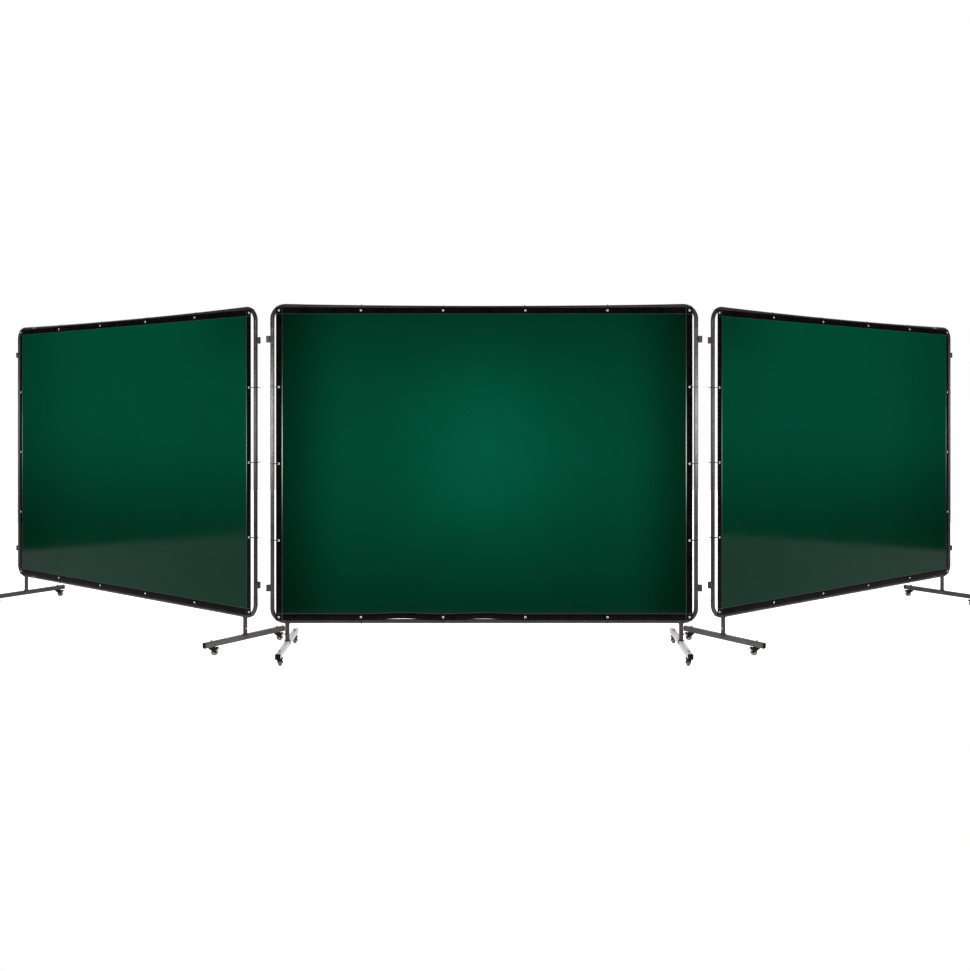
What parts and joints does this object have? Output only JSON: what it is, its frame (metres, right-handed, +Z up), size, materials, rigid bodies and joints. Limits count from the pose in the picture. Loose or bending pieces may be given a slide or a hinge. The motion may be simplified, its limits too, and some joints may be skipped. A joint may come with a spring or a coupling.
{
  "type": "welding curtain screen",
  "caption": "Free-standing folding welding screen: framed green vinyl curtains tied into tube frames that stand on braked swivel casters, outer screens swept back.",
  "frame": {"origin": "on the floor, in the middle of the whole set's box", "axes": "+X to the right along the centre screen, -Y towards the side that the curtains face, +Z up"},
  "size_m": [7.2688, 1.764, 2.0614],
  "materials": {
    "frame": "glossy black powder coat",
    "foot": "grey-black powder coat",
    "curtain": "smooth glossy dark green vinyl with a black hem",
    "fork": "satin black moulded",
    "wheel": "grey moulded wheel with a dark tread",
    "brake": "pressed steel pedal, black"
  },
  "bodies": {
    "centre_screen": {"centre_screen_top_rail": "frame", "centre_screen_bottom_rail": "frame", "centre_screen_left_post": "frame", "centre_screen_right_post": "frame", "centre_screen_curtain": "curtain", "centre_screen_left_foot": "foot", "centre_screen_right_foot": "foot"},
    "left_screen": {"left_screen_top_rail": "frame", "left_screen_bottom_rail": "frame", "left_screen_left_post": "frame", "left_screen_right_post": "frame", "left_screen_curtain": "curtain", "left_screen_left_foot": "foot", "left_screen_right_foot": "foot"},
    "right_screen": {"right_screen_top_rail": "frame", "right_screen_bottom_rail": "frame", "right_screen_left_post": "frame", "right_screen_right_post": "frame", "right_screen_curtain": "curtain", "right_screen_left_foot": "foot", "right_screen_right_foot": "foot"},
    "centre_screen_left_front_fork": {"centre_screen_left_front_fork": "fork"},
    "centre_screen_left_front_wheel": {"centre_screen_left_front_wheel": "wheel"},
    "centre_screen_left_front_brake": {"centre_screen_left_front_brake": "brake"},
    "centre_screen_left_rear_fork": {"centre_screen_left_rear_fork": "fork"},
    "centre_screen_left_rear_wheel": {"centre_screen_left_rear_wheel": "wheel"},
    "centre_screen_left_rear_brake": {"centre_screen_left_rear_brake": "brake"},
    "centre_screen_right_front_fork": {"centre_screen_right_front_fork": "fork"},
    "centre_screen_right_front_wheel": {"centre_screen_right_front_wheel": "wheel"},
    "centre_screen_right_front_brake": {"centre_screen_right_front_brake": "brake"},
    "centre_screen_right_rear_fork": {"centre_screen_right_rear_fork": "fork"},
    "centre_screen_right_rear_wheel": {"centre_screen_right_rear_wheel": "wheel"},
    "centre_screen_right_rear_brake": {"centre_screen_right_rear_brake": "brake"},
    "left_screen_left_front_fork": {"left_screen_left_front_fork": "fork"},
    "left_screen_left_front_wheel": {"left_screen_left_front_wheel": "wheel"},
    "left_screen_left_front_brake": {"left_screen_left_front_brake": "brake"},
    "left_screen_left_rear_fork": {"left_screen_left_rear_fork": "fork"},
    "left_screen_left_rear_wheel": {"left_screen_left_rear_wheel": "wheel"},
    "left_screen_left_rear_brake": {"left_screen_left_rear_brake": "brake"},
    "left_screen_right_front_fork": {"left_screen_right_front_fork": "fork"},
    "left_screen_right_front_wheel": {"left_screen_right_front_wheel": "wheel"},
    "left_screen_right_front_brake": {"left_screen_right_front_brake": "brake"},
    "left_screen_right_rear_fork": {"left_screen_right_rear_fork": "fork"},
    "left_screen_right_rear_wheel": {"left_screen_right_rear_wheel": "wheel"},
    "left_screen_right_rear_brake": {"left_screen_right_rear_brake": "brake"},
    "right_screen_left_front_fork": {"right_screen_left_front_fork": "fork"},
    "right_screen_left_front_wheel": {"right_screen_left_front_wheel": "wheel"},
    "right_screen_left_front_brake": {"right_screen_left_front_brake": "brake"},
    "right_screen_left_rear_fork": {"right_screen_left_rear_fork": "fork"},
    "right_screen_left_rear_wheel": {"right_screen_left_rear_wheel": "wheel"},
    "right_screen_left_rear_brake": {"right_screen_left_rear_brake": "brake"},
    "right_screen_right_front_fork": {"right_screen_right_front_fork": "fork"},
    "right_screen_right_front_wheel": {"right_screen_right_front_wheel": "wheel"},
    "right_screen_right_front_brake": {"right_screen_right_front_brake": "brake"},
    "right_screen_right_rear_fork": {"right_screen_right_rear_fork": "fork"},
    "right_screen_right_rear_wheel": {"right_screen_right_rear_wheel": "wheel"},
    "right_screen_right_rear_brake": {"right_screen_right_rear_brake": "brake"}
  },
  "joints": [
    {"name": "left_screen_swing", "type": "hinge", "parent": "centre_screen", "child": "left_screen", "pos_m": [-1.30795, -0.58254, 1.124], "axis": [0, 0, 1], "range_deg": [-5, 85]},
    {"name": "right_screen_swing", "type": "hinge", "parent": "centre_screen", "child": "right_screen", "pos_m": [1.30795, -0.58254, 1.124], "axis": [0, 0, 1], "range_deg": [-85, 5]},
    {"name": "centre_screen_left_front_swivel", "type": "hinge", "parent": "centre_screen", "child": "centre_screen_left_front_fork", "pos_m": [-1.1467, -0.83738, 0.05], "axis": [0, 0, 1], "continuous": true},
    {"name": "centre_screen_left_front_roll", "type": "hinge", "parent": "centre_screen_left_front_fork", "child": "centre_screen_left_front_wheel", "pos_m": [-1.14761, -0.8174, 0.019], "axis": [-0.999, -0.0454, 0], "continuous": true},
    {"name": "centre_screen_left_front_brake_lever", "type": "hinge", "parent": "centre_screen_left_front_fork", "child": "centre_screen_left_front_brake", "pos_m": [-1.14827, -0.80273, 0.03849], "axis": [0.999, 0.0454, 0], "range_deg": [0, 25]},
    {"name": "centre_screen_left_rear_swivel", "type": "hinge", "parent": "centre_screen", "child": "centre_screen_left_rear_fork", "pos_m": [-1.1663, -0.40582, 0.05], "axis": [0, 0, 1], "continuous": true},
    {"name": "centre_screen_left_rear_roll", "type": "hinge", "parent": "centre_screen_left_rear_fork", "child": "centre_screen_left_rear_wheel", "pos_m": [-1.16721, -0.38584, 0.019], "axis": [-0.999, -0.0454, 0], "continuous": true},
    {"name": "centre_screen_left_rear_brake_lever", "type": "hinge", "parent": "centre_screen_left_rear_fork", "child": "centre_screen_left_rear_brake", "pos_m": [-1.16787, -0.37117, 0.03849], "axis": [0.999, 0.0454, 0], "range_deg": [0, 25]},
    {"name": "centre_screen_right_front_swivel", "type": "hinge", "parent": "centre_screen", "child": "centre_screen_right_front_fork", "pos_m": [1.1467, -0.83738, 0.05], "axis": [0, 0, 1], "continuous": true},
    {"name": "centre_screen_right_front_roll", "type": "hinge", "parent": "centre_screen_right_front_fork", "child": "centre_screen_right_front_wheel", "pos_m": [1.14761, -0.8174, 0.019], "axis": [-0.999, 0.0454, 0], "continuous": true},
    {"name": "centre_screen_right_front_brake_lever", "type": "hinge", "parent": "centre_screen_right_front_fork", "child": "centre_screen_right_front_brake", "pos_m": [1.14827, -0.80273, 0.03849], "axis": [0.999, -0.0454, 0], "range_deg": [0, 25]},
    {"name": "centre_screen_right_rear_swivel", "type": "hinge", "parent": "centre_screen", "child": "centre_screen_right_rear_fork", "pos_m": [1.1663, -0.40582, 0.05], "axis": [0, 0, 1], "continuous": true},
    {"name": "centre_screen_right_rear_roll", "type": "hinge", "parent": "centre_screen_right_rear_fork", "child": "centre_screen_right_rear_wheel", "pos_m": [1.16721, -0.38584, 0.019], "axis": [-0.999, 0.0454, 0], "continuous": true},
    {"name": "centre_screen_right_rear_brake_lever", "type": "hinge", "parent": "centre_screen_right_rear_fork", "child": "centre_screen_right_rear_brake", "pos_m": [1.16787, -0.37117, 0.03849], "axis": [0.999, -0.0454, 0], "range_deg": [0, 25]},
    {"name": "left_screen_left_front_swivel", "type": "hinge", "parent": "left_screen", "child": "left_screen_left_front_fork", "pos_m": [-3.59296, 0.52329, 0.05], "axis": [0, 0, 1], "continuous": true},
    {"name": "left_screen_left_front_roll", "type": "hinge", "parent": "left_screen_left_front_fork", "child": "left_screen_left_front_wheel", "pos_m": [-3.579, 0.53761, 0.019], "axis": [-0.7163, 0.6978, 0], "continuous": true},
    {"name": "left_screen_left_front_brake_lever", "type": "hinge", "parent": "left_screen_left_front_fork", "child": "left_screen_left_front_brake", "pos_m": [-3.56875, 0.54813, 0.03849], "axis": [0.7163, -0.6978, 0], "range_deg": [0, 25]},
    {"name": "left_screen_left_rear_swivel", "type": "hinge", "parent": "left_screen", "child": "left_screen_left_rear_fork", "pos_m": [-3.29151, 0.83273, 0.05], "axis": [0, 0, 1], "continuous": true},
    {"name": "left_screen_left_rear_roll", "type": "hinge", "parent": "left_screen_left_rear_fork", "child": "left_screen_left_rear_wheel", "pos_m": [-3.27756, 0.84706, 0.019], "axis": [-0.7163, 0.6978, 0], "continuous": true},
    {"name": "left_screen_left_rear_brake_lever", "type": "hinge", "parent": "left_screen_left_rear_fork", "child": "left_screen_left_rear_brake", "pos_m": [-3.26731, 0.85757, 0.03849], "axis": [0.7163, -0.6978, 0], "range_deg": [0, 25]},
    {"name": "left_screen_right_front_swivel", "type": "hinge", "parent": "left_screen", "child": "left_screen_right_front_fork", "pos_m": [-1.59491, -0.64194, 0.05], "axis": [0, 0, 1], "continuous": true},
    {"name": "left_screen_right_front_roll", "type": "hinge", "parent": "left_screen_right_front_fork", "child": "left_screen_right_front_wheel", "pos_m": [-1.58095, -0.62762, 0.019], "axis": [-0.7163, 0.6978, 0], "continuous": true},
    {"name": "left_screen_right_front_brake_lever", "type": "hinge", "parent": "left_screen_right_front_fork", "child": "left_screen_right_front_brake", "pos_m": [-1.5707, -0.6171, 0.03849], "axis": [0.7163, -0.6978, 0], "range_deg": [0, 25]},
    {"name": "left_screen_right_rear_swivel", "type": "hinge", "parent": "left_screen", "child": "left_screen_right_rear_fork", "pos_m": [-1.29346, -0.3325, 0.05], "axis": [0, 0, 1], "continuous": true},
    {"name": "left_screen_right_rear_roll", "type": "hinge", "parent": "left_screen_right_rear_fork", "child": "left_screen_right_rear_wheel", "pos_m": [-1.2795, -0.31817, 0.019], "axis": [-0.7163, 0.6978, 0], "continuous": true},
    {"name": "left_screen_right_rear_brake_lever", "type": "hinge", "parent": "left_screen_right_rear_fork", "child": "left_screen_right_rear_brake", "pos_m": [-1.26926, -0.30766, 0.03849], "axis": [0.7163, -0.6978, 0], "range_deg": [0, 25]},
    {"name": "right_screen_left_front_swivel", "type": "hinge", "parent": "right_screen", "child": "right_screen_left_front_fork", "pos_m": [1.59491, -0.64194, 0.05], "axis": [0, 0, 1], "continuous": true},
    {"name": "right_screen_left_front_roll", "type": "hinge", "parent": "right_screen_left_front_fork", "child": "right_screen_left_front_wheel", "pos_m": [1.58095, -0.62762, 0.019], "axis": [-0.7163, -0.6978, 0], "continuous": true},
    {"name": "right_screen_left_front_brake_lever", "type": "hinge", "parent": "right_screen_left_front_fork", "child": "right_screen_left_front_brake", "pos_m": [1.5707, -0.6171, 0.03849], "axis": [0.7163, 0.6978, 0], "range_deg": [0, 25]},
    {"name": "right_screen_left_rear_swivel", "type": "hinge", "parent": "right_screen", "child": "right_screen_left_rear_fork", "pos_m": [1.29346, -0.3325, 0.05], "axis": [0, 0, 1], "continuous": true},
    {"name": "right_screen_left_rear_roll", "type": "hinge", "parent": "right_screen_left_rear_fork", "child": "right_screen_left_rear_wheel", "pos_m": [1.2795, -0.31817, 0.019], "axis": [-0.7163, -0.6978, 0], "continuous": true},
    {"name": "right_screen_left_rear_brake_lever", "type": "hinge", "parent": "right_screen_left_rear_fork", "child": "right_screen_left_rear_brake", "pos_m": [1.26926, -0.30766, 0.03849], "axis": [0.7163, 0.6978, 0], "range_deg": [0, 25]},
    {"name": "right_screen_right_front_swivel", "type": "hinge", "parent": "right_screen", "child": "right_screen_right_front_fork", "pos_m": [3.59296, 0.52329, 0.05], "axis": [0, 0, 1], "continuous": true},
    {"name": "right_screen_right_front_roll", "type": "hinge", "parent": "right_screen_right_front_fork", "child": "right_screen_right_front_wheel", "pos_m": [3.579, 0.53761, 0.019], "axis": [-0.7163, -0.6978, 0], "continuous": true},
    {"name": "right_screen_right_front_brake_lever", "type": "hinge", "parent": "right_screen_right_front_fork", "child": "right_screen_right_front_brake", "pos_m": [3.56875, 0.54813, 0.03849], "axis": [0.7163, 0.6978, 0], "range_deg": [0, 25]},
    {"name": "right_screen_right_rear_swivel", "type": "hinge", "parent": "right_screen", "child": "right_screen_right_rear_fork", "pos_m": [3.29151, 0.83273, 0.05], "axis": [0, 0, 1], "continuous": true},
    {"name": "right_screen_right_rear_roll", "type": "hinge", "parent": "right_screen_right_rear_fork", "child": "right_screen_right_rear_wheel", "pos_m": [3.27756, 0.84706, 0.019], "axis": [-0.7163, -0.6978, 0], "continuous": true},
    {"name": "right_screen_right_rear_brake_lever", "type": "hinge", "parent": "right_screen_right_rear_fork", "child": "right_screen_right_rear_brake", "pos_m": [3.26731, 0.85757, 0.03849], "axis": [0.7163, 0.6978, 0], "range_deg": [0, 25]}
  ]
}
